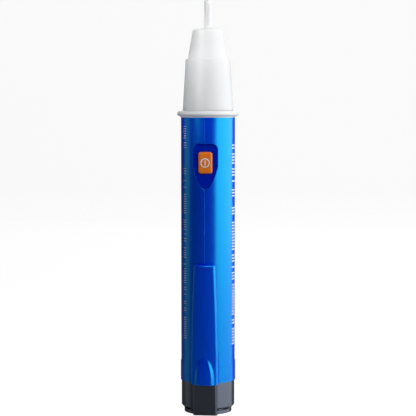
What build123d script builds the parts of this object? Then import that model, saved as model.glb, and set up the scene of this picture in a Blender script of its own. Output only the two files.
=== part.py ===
from build123d import *
import os
from math import asin, degrees, radians, sqrt, tan

os.makedirs("parts", exist_ok=True)

# A pen-shaped voltage tester.  The origin is the middle of the flat foot, +Z runs up the
# pen to the probe tip, and the button and the clip face -Y.  All sizes are in millimetres.

# ---------------------------------------------------------------------------
# Driving dimensions
# ---------------------------------------------------------------------------

# Clearances
fit = 0.05  # snug fit between pieces that are assembled by hand
running = 0.08  # sliding fit, each side
touch_gap = 0.05  # two pieces that press on each other in use

# AAA cells, two in a row
cell_diameter = 10.5
cell_length = 44.5
cell_nub_diameter = 3.8
cell_nub_height = 1.1
cell_sleeve_wall = 0.2
cell_seal_height = 0.4
cell_side_gap = 0.32

# Circuit board and what stands on it
board_thickness = 1.0
board_gap = 0.35  # from the cells to the board
board_side_gap = 1.68  # from the board's edge to the bore
board_neck_gap = 1.3  # from the narrow end's edge to the nose
board_tail = 13.45  # length below the button's middle
board_headroom = 2.5  # below the top of the lower cone
board_neck_drop = 0.5  # from the collar's spigot to the board's shoulder
switch_width = 6.0
switch_height = 1.5
plunger_radius = 0.85
plunger_stand = 0.75
plunger_depth = 0.45
chip_length = 8.7
chip_width = 3.9
chip_height = 1.5
chip_edge = 0.2
lead_count = 7
lead_pitch = 1.1
lead_width = 0.4
lead_reach = 1.0
resistor_length = 2.0
resistor_width = 1.25
resistor_height = 0.5
resistor_pitch = 2.2
resistor_count = 4
capacitor_length = 3.2
capacitor_width = 1.6
capacitor_height = 1.2
capacitor_pitch = 4.0
transistor_length = 2.9
transistor_width = 1.4
transistor_height = 1.0
transistor_pitch = 8.0
transistor_rise = 6.0  # above the board's lower end
buzzer_diameter = 9.0
buzzer_height = 4.5
buzzer_wall = 0.5
buzzer_hole_radius = 1.0
buzzer_disc_thickness = 0.3
buzzer_side_gap = 1.2  # above the barrel's stop ring
led_radius = 1.5
led_flange = 0.4
led_height = 5.3
led_dome = 0.9  # share of the lamp's radius that its top is rounded by
led_rise = 0.8  # above the step between the two cones
led_board_gap = 0.5  # behind the middle of the nose
led_lead_spread = 0.98  # from the lamp's middle to each lead
led_lead_drop = 2.0  # straight length below the lamp
led_lead_bend = 4.0  # height of the slanted length
led_lead_foot = 4.0  # length that lies on the board
lead_radius = 0.25
lead_bend = 1.0
antenna_radius = 0.4
antenna_gap = 1.0  # below the end of the probe's bore
antenna_slant = 4.5  # from the lamp's foot up to where the wire reaches the middle
antenna_foot = 7.0  # length that lies on the board
antenna_lift = 0.5  # from the board's end to the start of the slant
antenna_bend = 2.0

# Button and its bezel
button_width = 5.4
button_height = 8.3
button_corner = 1.05
button_edge = 0.7
button_proud = 0.05  # past the barrel's front
button_lip = 0.6
button_lip_thickness = 0.8
button_post_length = 0.55
button_post_radius = 1.2
button_travel = 0.4
button_rise = 1.45  # middle of the button above the cells
recess_depth = 1.07
recess_headroom = 3.1  # from the button's upper edge to the recess top
recess_tail = 0.4  # length of the straight sides, less the button's height
recess_run = 0.3  # length of the sloping floor, less the button's height
recess_corner = 2.2
rim_edge = 0.2
bezel_thickness = 1.28
bezel_skirt = 0.6
bezel_flange = 0.8

# Barrel
shell_wall = 1.6
band_height = 7.5
band_proud = 0.2
seam_edge = 0.15
head_bay = 17.1  # from the partition to the barrel's top
rib_thickness = 1.2
rib_board_gap = 1.0
ring_width = 1.0
rail_depth = 0.85
rail_height = 3.0
rail_bite = 0.8  # how far the rails reach over the board's edges
rail_width = 5.0
rail_low = 3.0  # from the board's lower end to the lower rails
rail_high = 2.0  # from the board's shoulder down to the upper rails
boss_low_gap = 4.0  # from the hinge line to the lowest boss
boss_high_gap = 8.0  # from the highest boss to the board
boss_radius = 1.6
boss_inset = 2.65  # from the bore to the boss's middle
pin_radius = 0.8
pin_length = 2.4
boss_count = 3

# Nose
collar_proud = 1.45
collar_lip_height = 0.45
collar_height = 2.5
collar_spigot_length = 6.2
collar_spigot_wall = 1.2
collar_tongue = 3.8
collar_lip = 0.2  # barrel's top edge to the lip's edge
bead_round = 0.49  # share of the bead's height
nose_wall = 1.3
nose_shoulder = 0.65  # barrel radius less the cone's lower radius
lower_cone_length = 20.0
lower_cone_taper = 1.2
cone_step = 0.77
upper_cone_length = 11.1
upper_cone_taper = 2.03
dome_height = 0.7
dome_sag = 0.3  # share of the dome's height, halfway down
ceiling_drop = 0.3
rim_round = 0.35
rod_radius = 1.46
rod_length = 10.9
rod_round = 0.9
rod_root_round = 0.8
rod_bore_radius = 0.6
rod_tip_wall = 2.5
seal_section = 0.8

# End cap
cap_height = 12.5
cap_inset = 0.15  # barrel radius less the cap's radius
foot_height = 1.4
foot_inset = 1.1
foot_slope = 1.3  # height of the sloped step above the foot
cap_floor = 2.0
spigot_wall = 1.0
spigot_length = 6.0
cap_seal_section = 0.54
cap_seal_share = 0.6  # where the seal sits along the spigot
panel_width = 9.3
panel_foot_proud = 0.2  # past the cap's radius at the foot
panel_top_proud = 2.6  # past the cap's radius at the top
panel_edge = 0.6
panel_root = 0.4  # depth of the panel's root inside the spigot's line
panel_root_slope = 1.0  # height over which the root clears the spigot
slot_height = 0.6
slot_depth = 0.8
slot_rise = 0.1  # from the foot to the slots
slot_start = 5.0
slot_end = 8.3
contact_thickness = 0.3
strip_thickness = 0.3
strip_width = 2.7
strip_cell_gap = 0.3
strip_back_inset = 1.0  # from the cells' middle plane to the strip
strip_slot = 0.5  # free width round the strip in the ribs
strip_overlap = 2.8  # length beside the board
strip_foot = 2.4
plus_inset = 1.5
plus_tab_width = 3.0
spring_length = 4.65
spring_radius = 3.0
spring_wire = 0.35
spring_turns = 3

# Pocket clip
clip_gap = 1.75  # from the barrel to the blade
clip_thickness = 1.8
clip_root_height = 11.5
clip_blade_length = 34.7
clip_root_width = 10.5
clip_mid_width = 9.8
clip_end_width = 8.4
clip_mid_share = 0.45  # where the blade's middle width is, along its length
clip_edge = 0.8
flex_radius = 0.6
flex_width = 5.0
flex_gap = 0.12
flex_inset = 0.1  # from the middle of the blade's thickness
arch_width = 7.4
arch_height = 10.4
arch_dome = 4.44  # height of the arch's round upper end
arch_proud = 1.0
arch_slant = 25.0  # degrees that the arch's flanks lean in
tongue_width = 4.4
tongue_height = 3.0
tongue_lip = 1.0
tongue_drop = 1.4  # from the hinge line to the tongue's top
root_seat = 0.02

# ---------------------------------------------------------------------------
# Worked out from the driving dimensions
# ---------------------------------------------------------------------------

cell_radius = cell_diameter / 2
# From the barrel's front to the board: the recess, bezel, button, plunger and switch
button_stack = touch_gap + button_lip_thickness + button_post_length + touch_gap
front_room = recess_depth + bezel_thickness + button_stack + plunger_stand + switch_height
back_room = shell_wall + running + spigot_wall + cell_side_gap
body_radius = (back_room + cell_diameter + board_gap + board_thickness + front_room) / 2
bore_radius = body_radius - shell_wall
cell_y = body_radius - back_room - cell_radius
board_back = cell_y - cell_radius - board_gap
board_front = board_back - board_thickness

# Heights
cell_bottom = cap_floor + contact_thickness + spring_length + touch_gap
cells_top = cell_bottom + 2 * cell_length
partition_bottom = cells_top + 2 * touch_gap + contact_thickness
partition_top = partition_bottom + rib_thickness
shell_top = partition_top + head_bay
button_z = cells_top + button_rise
collar_top = shell_top + collar_height
step_z = collar_top + lower_cone_length
upper_top = step_z + upper_cone_length
dome_top = upper_top + dome_height
tip_z = dome_top + rod_length

# Nose radii
cone_bottom_radius = body_radius - nose_shoulder
cone_top_radius = cone_bottom_radius - lower_cone_taper
upper_bottom_radius = cone_top_radius - cone_step
upper_top_radius = upper_bottom_radius - upper_cone_taper
collar_bore = bore_radius - fit - collar_spigot_wall

# Cap radii
cap_radius = body_radius - cap_inset
foot_radius = cap_radius - foot_inset
spigot_radius = bore_radius - running
spigot_bore = spigot_radius - spigot_wall

# Board outline
board_half = sqrt(bore_radius**2 - board_front**2) - board_side_gap
nose_bore_top = cone_top_radius - nose_wall
neck_half = sqrt(nose_bore_top**2 - board_front**2) - board_neck_gap
board_bottom = button_z - board_tail
board_top = step_z - board_headroom
neck_z = shell_top - collar_spigot_length - fit - board_neck_drop

# Button depths, measured along -Y from the pen's axis
bezel_face = body_radius - recess_depth
bezel_back = bezel_face - bezel_thickness
button_lip_face = bezel_back - touch_gap
button_lip_back = button_lip_face - button_lip_thickness
post_end = button_lip_back - button_post_length
plunger_tip = post_end - touch_gap
switch_face = plunger_tip - plunger_stand
button_face = body_radius + button_proud
recess_above = button_height / 2 + recess_headroom
recess_straight = button_height + recess_tail
recess_ramp = button_height + recess_run
recess_half = sqrt(body_radius**2 - bezel_face**2)
flange_face = sqrt(bore_radius**2 - (recess_half + bezel_flange) ** 2) - 2 * fit
flange_back = switch_face + 4 * fit

# Clip
hinge_z = cap_height + clip_root_height
blade_inner = body_radius + clip_gap
blade_outer = blade_inner + clip_thickness
hinge_y = blade_inner + clip_thickness / 2 - flex_inset
blade_top = hinge_z + clip_blade_length
band_radius = body_radius + band_proud
tongue_z = hinge_z - tongue_drop - tongue_height / 2


def recess_outline(grow):
    """Return the outline of the button recess, grown by a margin.  It has a flat top and
    straight sides.  Its lower end is the ellipse in which the sloping floor meets the
    round barrel.  The sketch's y is the height on the pen."""
    half = recess_half + grow
    top = button_z + recess_above
    bend = top - recess_straight
    rise = bezel_face * recess_ramp / recess_depth  # from the bend to the ellipse's middle
    y_radius = rise + recess_ramp + grow
    x_radius = half / sqrt(1 - (rise / y_radius) ** 2)
    swing = 90 - degrees(asin(rise / y_radius))
    with BuildSketch() as outline:
        with BuildLine():
            end = EllipticalCenterArc(
                (0, bend + rise), x_radius, y_radius, 270 - swing, arc_size=2 * swing
            )
            Polyline(end @ 0, (-half, top + grow), (half, top + grow), end @ 1)
        make_face()
        fillet(vertices().group_by(Axis.Y)[-1], radius=recess_corner + grow)
    return outline.sketch


# ---------------------------------------------------------------------------
# Barrel: one tube with its ribs and bosses, split at the seam into two shells
# ---------------------------------------------------------------------------

boss_y = -(bore_radius - boss_inset)
boss_low = hinge_z + boss_low_gap
boss_high = board_bottom - boss_high_gap
boss_step = (boss_high - boss_low) / (boss_count - 1)
boss_spots = [(boss_y, boss_low + i * boss_step) for i in range(boss_count)]
rib_heights = [boss_low + (i + 0.5) * boss_step for i in range(boss_count - 1)]
rib_heights.append(partition_bottom - fit - rib_thickness)

strip_x = cell_radius + strip_cell_gap
strip_back = cell_y - strip_back_inset
strip_front = strip_back - strip_width
strip_middle = (strip_x + strip_thickness / 2, (strip_back + strip_front) / 2)
rail_heights = (board_bottom + rail_low, neck_z - rail_height - rail_high)
rail_x = board_half + rail_width / 2 - rail_bite


def is_outside(face):
    """Tell whether a face is on the barrel's outer surface."""
    return abs(face.radius - body_radius) < 0.001


def seam_edges(half):
    """Return the long outer edges that a barrel half has along its seam."""
    long_edges = half.edges().filter_by(Axis.Z).filter_by(lambda e: abs(e.center().X) < 0.001)
    return long_edges.filter_by(lambda e: abs(e.center().Y) > body_radius - 0.001)


with BuildPart() as barrel:
    # Ribs that cradle the cells, open towards the board and notched for the strip
    for rib_z in rib_heights:
        with BuildSketch(Plane.XY.offset(rib_z)):
            Circle(bore_radius + shell_wall / 2)
            with Locations((0, cell_y)):
                Circle(cell_radius + cell_side_gap, mode=Mode.SUBTRACT)
            with Locations((0, -body_radius)):
                Rectangle(
                    2 * body_radius,
                    2 * (body_radius + board_back + rib_board_gap),
                    mode=Mode.SUBTRACT,
                )
            with Locations(strip_middle):
                Rectangle(
                    strip_thickness + strip_slot,
                    strip_width + strip_slot,
                    mode=Mode.SUBTRACT,
                )
        extrude(amount=rib_thickness)
    # Rails on both sides that hold the board's edges
    for rail_z in rail_heights:
        with BuildSketch(Plane.XY.offset(rail_z)):
            for rail_y in (board_front - fit - rail_depth / 2, board_back + fit + rail_depth / 2):
                with Locations((rail_x, rail_y), (-rail_x, rail_y)):
                    Rectangle(rail_width, rail_depth)
        extrude(amount=rail_height)
    # Bosses across the seam, in front of the cells
    with BuildSketch(Plane.YZ):
        with Locations(*boss_spots):
            Circle(boss_radius)
    extrude(amount=body_radius, both=True)
    with BuildSketch():
        Circle(bore_radius + shell_wall / 2)
    extrude(amount=shell_top, mode=Mode.INTERSECT)
    # Stop ring above the partition, open towards the board
    with BuildSketch(Plane.XY.offset(partition_top + fit)):
        Circle(bore_radius + shell_wall / 2)
        Circle(bore_radius - ring_width, mode=Mode.SUBTRACT)
        with Locations((0, -body_radius)):
            Rectangle(
                2 * body_radius,
                2 * (body_radius + board_back + rib_board_gap),
                mode=Mode.SUBTRACT,
            )
    extrude(amount=rib_thickness)
    # The tube itself and the proud band at its lower end
    with BuildSketch(Plane.XY.offset(cap_height)):
        Circle(body_radius)
        Circle(bore_radius, mode=Mode.SUBTRACT)
    extrude(amount=shell_top - cap_height)
    with BuildSketch(Plane.XY.offset(cap_height)):
        Circle(band_radius)
        Circle(bore_radius + shell_wall / 2, mode=Mode.SUBTRACT)
    extrude(amount=band_height)
    # Window for the bezel and slot for the clip's tongue
    with BuildSketch(Plane.XZ.offset(flange_face)):
        add(recess_outline(0))
    extrude(amount=2 * shell_wall + body_radius - flange_face, mode=Mode.SUBTRACT)
    skins = faces().filter_by(GeomType.CYLINDER).filter_by(lambda f: is_outside(f))
    rims = [wire for skin in skins for wire in skin.inner_wires()]
    fillet([edge for wire in rims for edge in wire.edges()], radius=rim_edge)
    with BuildSketch(Plane.XZ.offset(bore_radius - shell_wall)):
        with Locations((0, tongue_z)):
            Rectangle(tongue_width + 2 * fit, tongue_height + 2 * fit)
    extrude(amount=3 * shell_wall, mode=Mode.SUBTRACT)

with BuildPart() as shell_left:
    add(barrel.part)
    split(bisect_by=Plane.YZ, keep=Keep.BOTTOM)
    chamfer(seam_edges(shell_left), length=seam_edge)
    with BuildSketch(Plane.YZ):
        with Locations(*boss_spots):
            Circle(pin_radius + fit)
    extrude(amount=-(pin_length + 2 * fit), mode=Mode.SUBTRACT)
shell_left.part.label = "shell_left"
export_step(shell_left.part, "parts/shell_left.step")

with BuildPart() as shell_right:
    add(barrel.part)
    split(bisect_by=Plane.YZ, keep=Keep.TOP)
    chamfer(seam_edges(shell_right), length=seam_edge)
    with BuildSketch(Plane.YZ):
        with Locations(*boss_spots):
            Circle(pin_radius)
    extrude(amount=-pin_length)
shell_right.part.label = "shell_right"
export_step(shell_right.part, "parts/shell_right.step")

# ---------------------------------------------------------------------------
# Bezel and button
# ---------------------------------------------------------------------------

with BuildPart() as button_bezel:
    with BuildSketch(Plane.XZ.offset(flange_back)):
        add(recess_outline(bezel_flange))
    extrude(amount=flange_face - flange_back)
    with BuildSketch(Plane.XZ.offset(flange_back)):
        add(recess_outline(-fit))
    extrude(amount=body_radius - flange_back)
    # Flat floor, and the ramp from it out to the barrel's surface
    with BuildSketch(Plane.YZ):
        with BuildLine():
            recess_top = button_z + recess_above
            recess_bend = recess_top - recess_straight
            Polyline(
                (-bezel_face, recess_top + bezel_flange),
                (-bezel_face, recess_bend),
                (-body_radius, recess_bend - recess_ramp),
                (-body_radius - recess_depth, recess_bend - recess_ramp),
                (-body_radius - recess_depth, recess_top + bezel_flange),
                close=True,
            )
        make_face()
    extrude(amount=body_radius, both=True, mode=Mode.SUBTRACT)
    with BuildSketch(Plane.XZ.offset(flange_back)):
        add(recess_outline(-fit - bezel_skirt))
    extrude(amount=bezel_back - flange_back, mode=Mode.SUBTRACT)
    with BuildSketch(Plane.XZ.offset(bezel_back)):
        with Locations((0, button_z)):
            RectangleRounded(
                button_width + 2 * running,
                button_height + 2 * running,
                button_corner + running,
            )
    extrude(amount=bezel_thickness + recess_depth, mode=Mode.SUBTRACT)
button_bezel.part.label = "button_bezel"
export_step(button_bezel.part, "parts/button_bezel.step")

with BuildPart() as power_button:
    with BuildSketch(Plane.XZ.offset(button_lip_face)):
        with Locations((0, button_z)):
            RectangleRounded(button_width, button_height, button_corner)
    extrude(amount=button_face - button_lip_face)
    fillet(faces().sort_by(Axis.Y)[0].edges(), radius=button_edge)
    with BuildSketch(Plane.XZ.offset(button_lip_back)):
        with Locations((0, button_z)):
            RectangleRounded(
                button_width + 2 * button_lip,
                button_height + 2 * button_lip,
                button_corner + button_lip,
            )
    extrude(amount=button_lip_thickness)
    with BuildSketch(Plane.XZ.offset(post_end)):
        with Locations((0, button_z)):
            Circle(button_post_radius)
    extrude(amount=button_post_length)
power_button.part.label = "power_button"
export_step(power_button.part, "parts/power_button.step")

# ---------------------------------------------------------------------------
# Circuit board and what is soldered to it
# ---------------------------------------------------------------------------

with BuildPart() as circuit_board:
    with BuildSketch(Plane.XZ.offset(-board_back)):
        with Locations((0, (board_bottom + neck_z) / 2)):
            Rectangle(2 * board_half, neck_z - board_bottom)
        with Locations((0, (board_bottom + board_top) / 2)):
            Rectangle(2 * neck_half, board_top - board_bottom)
    extrude(amount=board_thickness)
circuit_board.part.label = "circuit_board"
export_step(circuit_board.part, "parts/circuit_board.step")

with BuildPart() as tact_switch_base:
    with BuildSketch(Plane.XZ.offset(-board_front)):
        with Locations((0, button_z)):
            Rectangle(switch_width, switch_width)
    extrude(amount=switch_height)
    with BuildSketch(Plane.XZ.offset(switch_face)):
        with Locations((0, button_z)):
            Circle(plunger_radius + running)
    extrude(amount=-(plunger_depth + button_travel + touch_gap), mode=Mode.SUBTRACT)
tact_switch_base.part.label = "tact_switch_base"
export_step(tact_switch_base.part, "parts/tact_switch_base.step")

with BuildPart() as switch_plunger:
    with BuildSketch(Plane.XZ.offset(switch_face - plunger_depth)):
        with Locations((0, button_z)):
            Circle(plunger_radius)
    extrude(amount=plunger_depth + plunger_stand)
switch_plunger.part.label = "switch_plunger"
export_step(switch_plunger.part, "parts/switch_plunger.step")

# The chip and the rows of small parts share the neck's length evenly
neck_parts = chip_length + resistor_length + capacitor_width
neck_gap = (board_top - collar_top - neck_parts) / 4
chip_z = collar_top + neck_gap + chip_length / 2
resistor_z = chip_z + chip_length / 2 + neck_gap + resistor_length / 2
capacitor_z = board_top - neck_gap - capacitor_width / 2
transistor_z = board_bottom + transistor_rise

with BuildPart() as sensing_chip:
    with BuildSketch(Plane.XZ.offset(-board_front)):
        with Locations((0, chip_z)):
            Rectangle(chip_width, chip_length)
    extrude(amount=chip_height)
    chamfer(faces().sort_by(Axis.Y)[0].edges(), length=chip_edge)
sensing_chip.part.label = "sensing_chip"
export_step(sensing_chip.part, "parts/sensing_chip.step")

with BuildPart() as chip_leads:
    with BuildSketch(Plane.XZ.offset(-board_front)):
        for lead_x in (-(chip_width + lead_reach) / 2, (chip_width + lead_reach) / 2):
            with Locations((lead_x, chip_z)):
                with GridLocations(0, lead_pitch, 1, lead_count):
                    Rectangle(lead_reach, lead_width)
    extrude(amount=chip_height / 4)
chip_leads.part.label = "chip_leads"
export_step(chip_leads.part, "parts/chip_leads.step")

with BuildPart() as resistors:
    with BuildSketch(Plane.XZ.offset(-board_front)):
        with Locations((0, resistor_z)):
            with GridLocations(resistor_pitch, 0, resistor_count, 1):
                Rectangle(resistor_width, resistor_length)
    extrude(amount=resistor_height)
resistors.part.label = "resistors"
export_step(resistors.part, "parts/resistors.step")

with BuildPart() as capacitors:
    with BuildSketch(Plane.XZ.offset(-board_front)):
        with Locations((0, capacitor_z)):
            with GridLocations(capacitor_pitch, 0, 2, 1):
                Rectangle(capacitor_length, capacitor_width)
    extrude(amount=capacitor_height)
capacitors.part.label = "capacitors"
export_step(capacitors.part, "parts/capacitors.step")

with BuildPart() as transistors:
    with BuildSketch(Plane.XZ.offset(-board_front)):
        with Locations((0, transistor_z)):
            with GridLocations(transistor_pitch, 0, 2, 1):
                Rectangle(transistor_width, transistor_length)
    extrude(amount=transistor_height)
transistors.part.label = "transistors"
export_step(transistors.part, "parts/transistors.step")

buzzer_z = partition_top + rib_thickness + buzzer_side_gap + buzzer_diameter / 2
with BuildPart() as buzzer_case:
    with BuildSketch(Plane.XZ.offset(-board_back)):
        with Locations((0, buzzer_z)):
            Circle(buzzer_diameter / 2)
    extrude(amount=-buzzer_height)
    with BuildSketch(Plane.XZ.offset(-board_back - buzzer_wall)):
        with Locations((0, buzzer_z)):
            Circle(buzzer_diameter / 2 - buzzer_wall)
    extrude(amount=-(buzzer_height - 2 * buzzer_wall), mode=Mode.SUBTRACT)
    with BuildSketch(Plane.XZ.offset(-board_back - buzzer_height)):
        with Locations((0, buzzer_z)):
            Circle(buzzer_hole_radius)
    extrude(amount=buzzer_wall, mode=Mode.SUBTRACT)
buzzer_case.part.label = "buzzer_case"
export_step(buzzer_case.part, "parts/buzzer_case.step")

with BuildPart() as buzzer_disc:
    with BuildSketch(Plane.XZ.offset(-board_back - buzzer_wall)):
        with Locations((0, buzzer_z)):
            Circle(buzzer_diameter / 2 - buzzer_wall - fit)
    extrude(amount=-buzzer_disc_thickness)
buzzer_disc.part.label = "buzzer_disc"
export_step(buzzer_disc.part, "parts/buzzer_disc.step")

# ---------------------------------------------------------------------------
# Light and antenna in the nose
# ---------------------------------------------------------------------------

led_z = step_z + led_rise
led_y = led_radius + led_flange + led_board_gap
with BuildPart() as indicator_led:
    with BuildSketch(Plane.XY.offset(led_z)):
        with Locations((0, led_y)):
            Circle(led_radius + led_flange)
    extrude(amount=led_flange)
    with BuildSketch(Plane.XY.offset(led_z)):
        with Locations((0, led_y)):
            Circle(led_radius)
    extrude(amount=led_height)
    fillet(faces().sort_by(Axis.Z)[-1].edges(), radius=led_dome * led_radius)
indicator_led.part.label = "indicator_led"
export_step(indicator_led.part, "parts/indicator_led.step")

lead_y = board_back + lead_radius
with BuildPart() as led_leads:
    for side in (-1, 1):
        x = side * led_lead_spread
        with BuildLine():
            FilletPolyline(
                (x, led_y, led_z),
                (x, led_y, led_z - led_lead_drop),
                (x, lead_y, led_z - led_lead_drop - led_lead_bend),
                (x, lead_y, led_z - led_lead_drop - led_lead_bend - led_lead_foot),
                radius=lead_bend,
            )
        with BuildSketch(Plane.XY.offset(led_z)):
            with Locations((x, led_y)):
                Circle(lead_radius)
        sweep()
led_leads.part.label = "led_leads"
export_step(led_leads.part, "parts/led_leads.step")

antenna_top = tip_z - rod_tip_wall - antenna_gap
antenna_y = board_back + antenna_radius
with BuildPart() as antenna:
    with BuildLine():
        FilletPolyline(
            (0, 0, antenna_top),
            (0, 0, led_z + antenna_slant),
            (0, antenna_y, board_top + antenna_lift),
            (0, antenna_y, board_top - antenna_foot),
            radius=antenna_bend,
        )
    with BuildSketch(Plane.XY.offset(antenna_top)):
        Circle(antenna_radius)
    sweep()
antenna.part.label = "antenna"
export_step(antenna.part, "parts/antenna.step")

# ---------------------------------------------------------------------------
# Nose, collar and their seal
# ---------------------------------------------------------------------------

cone_slope = lower_cone_taper / lower_cone_length
tongue_radius = cone_bottom_radius - nose_wall - cone_slope * collar_tongue - fit
spigot_bottom = shell_top - collar_spigot_length
groove_z = shell_top - collar_spigot_length / 2
seal_radius = bore_radius - seal_section / 2
lip_radius = body_radius + collar_lip
bead_radius = body_radius + collar_proud

with BuildPart() as nose_collar:
    with BuildSketch(Plane.XZ):
        with BuildLine():
            Polyline(
                (collar_bore, spigot_bottom),
                (bore_radius - fit, spigot_bottom),
                (bore_radius - fit, shell_top),
                (lip_radius, shell_top),
                (lip_radius, shell_top + collar_lip_height),
                (bead_radius, shell_top + collar_lip_height),
                (bead_radius, collar_top),
                (tongue_radius, collar_top),
                (tongue_radius, collar_top + collar_tongue),
                (collar_bore, collar_top + collar_tongue),
                close=True,
            )
        make_face()
        bead = vertices().group_by(Axis.X)[-1]
        bead_height = collar_height - collar_lip_height
        fillet(bead, radius=bead_round * bead_height)
        with Locations((seal_radius + seal_section, groove_z)):
            Rectangle(3 * seal_section, seal_section + 2 * fit, mode=Mode.SUBTRACT)
    revolve(axis=Axis.Z)
nose_collar.part.label = "nose_collar"
export_step(nose_collar.part, "parts/nose_collar.step")

with BuildPart() as nose_seal:
    with BuildSketch(Plane.XZ):
        with Locations((seal_radius, groove_z)):
            Circle(seal_section / 2)
    revolve(axis=Axis.Z)
nose_seal.part.label = "nose_seal"
export_step(nose_seal.part, "parts/nose_seal.step")

ceiling_z = dome_top - nose_wall - ceiling_drop
upper_slope = upper_cone_taper / upper_cone_length
ceiling_radius = upper_bottom_radius - upper_slope * (ceiling_z - step_z) - nose_wall


def circles_at(piece, height, radius):
    """Return the round edges of a piece that have the given height and radius."""
    circles = piece.edges().filter_by(GeomType.CIRCLE)
    level = circles.filter_by(lambda e: abs(e.center().Z - height) < 0.01)
    return level.filter_by(lambda e: abs(e.radius - radius) < 0.01)


with BuildPart() as sensor_nose:
    with BuildSketch(Plane.XZ):
        with BuildLine():
            Polyline(
                (0, tip_z),
                (rod_radius, tip_z),
                (rod_radius, dome_top),
            )
            ThreePointArc(
                (rod_radius, dome_top),
                ((rod_radius + upper_top_radius) / 2, dome_top - dome_sag * dome_height),
                (upper_top_radius, upper_top),
            )
            Polyline(
                (upper_top_radius, upper_top),
                (upper_bottom_radius, step_z),
                (cone_top_radius, step_z),
                (cone_bottom_radius, collar_top),
                (cone_bottom_radius - nose_wall, collar_top),
                (nose_bore_top, step_z - nose_wall),
                (upper_bottom_radius - nose_wall, step_z - nose_wall),
                (ceiling_radius, ceiling_z),
                (rod_bore_radius, ceiling_z),
                (rod_bore_radius, tip_z - rod_tip_wall),
                (0, tip_z - rod_tip_wall),
                (0, tip_z),
            )
        make_face()
    revolve(axis=Axis.Z)
    fillet(edges().filter_by(GeomType.CIRCLE).group_by(Axis.Z)[-1], radius=rod_round)
    fillet(circles_at(sensor_nose, dome_top, rod_radius), radius=rod_root_round)
    fillet(circles_at(sensor_nose, upper_top, upper_top_radius), radius=rim_round)
    fillet(circles_at(sensor_nose, step_z, cone_top_radius), radius=rim_round)
sensor_nose.part.label = "sensor_nose"
export_step(sensor_nose.part, "parts/sensor_nose.step")

# ---------------------------------------------------------------------------
# End cap and what rides in it
# ---------------------------------------------------------------------------

cap_groove_z = cap_height + spigot_length * cap_seal_share
cap_seal_radius = bore_radius - fit - cap_seal_section / 2
slot_z = foot_height + slot_rise
panel_root_y = panel_root - spigot_radius

with BuildPart() as end_cap:
    with BuildSketch(Plane.XZ):
        with BuildLine():
            Polyline(
                (0, 0),
                (foot_radius, 0),
                (foot_radius, foot_height),
                (cap_radius, foot_height + foot_slope),
                (cap_radius, cap_height),
                (spigot_radius, cap_height),
                (spigot_radius, cap_height + spigot_length),
                (spigot_bore, cap_height + spigot_length),
                (spigot_bore, cap_floor),
                (0, cap_floor),
                close=True,
            )
        make_face()
        with Locations((cap_seal_radius + cap_seal_section, cap_groove_z)):
            Rectangle(3 * cap_seal_section, cap_seal_section + 2 * fit, mode=Mode.SUBTRACT)
    revolve(axis=Axis.Z)
    # Flat panel in line with the clip
    with BuildSketch(Plane.YZ):
        with BuildLine():
            Polyline(
                (panel_root_y, 0),
                (-cap_radius - panel_foot_proud, 0),
                (-cap_radius - panel_top_proud, cap_height),
                (-cap_radius + panel_root, cap_height),
                (panel_root_y, cap_height - panel_root_slope),
                close=True,
            )
        make_face()
    extrude(amount=panel_width / 2, both=True)
    front_edges = edges().filter_by(Plane.YZ).group_by(Axis.Y)[0]
    chamfer(front_edges, length=panel_edge)
    # Grip slots in the step above the foot
    with BuildSketch(Plane.XY.offset(slot_z)):
        Circle(2 * cap_radius)
        Circle(foot_radius - slot_depth, mode=Mode.SUBTRACT)
        slot_middle = (slot_start + slot_end) / 2
        with Locations((-slot_middle, 0), (slot_middle, 0)):
            Rectangle(slot_end - slot_start, 3 * cap_radius, mode=Mode.INTERSECT)
    extrude(amount=slot_height, mode=Mode.SUBTRACT)
end_cap.part.label = "end_cap"
export_step(end_cap.part, "parts/end_cap.step")

with BuildPart() as cap_seal:
    with BuildSketch(Plane.XZ):
        with Locations((cap_seal_radius, cap_groove_z)):
            Circle(cap_seal_section / 2)
    revolve(axis=Axis.Z)
cap_seal.part.label = "cap_seal"
export_step(cap_seal.part, "parts/cap_seal.step")

with BuildPart() as cap_contact_plate:
    with BuildSketch(Plane.XY.offset(cap_floor)):
        Circle(spigot_bore - fit)
    extrude(amount=contact_thickness)
cap_contact_plate.part.label = "cap_contact_plate"
export_step(cap_contact_plate.part, "parts/cap_contact_plate.step")

spring_bottom = cap_floor + contact_thickness + spring_wire
spring_rise = spring_length - 2 * spring_wire
with BuildPart() as cap_spring:
    with BuildLine():
        coil = Helix(
            pitch=spring_rise / spring_turns,
            height=spring_rise,
            radius=spring_radius,
            center=(0, cell_y, spring_bottom),
        )
    with BuildSketch(Plane(origin=coil @ 0, z_dir=coil % 0)):
        Circle(spring_wire)
    sweep(is_frenet=True)
cap_spring.part.label = "cap_spring"
export_step(cap_spring.part, "parts/cap_spring.step")

# ---------------------------------------------------------------------------
# Cells
# ---------------------------------------------------------------------------


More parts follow.
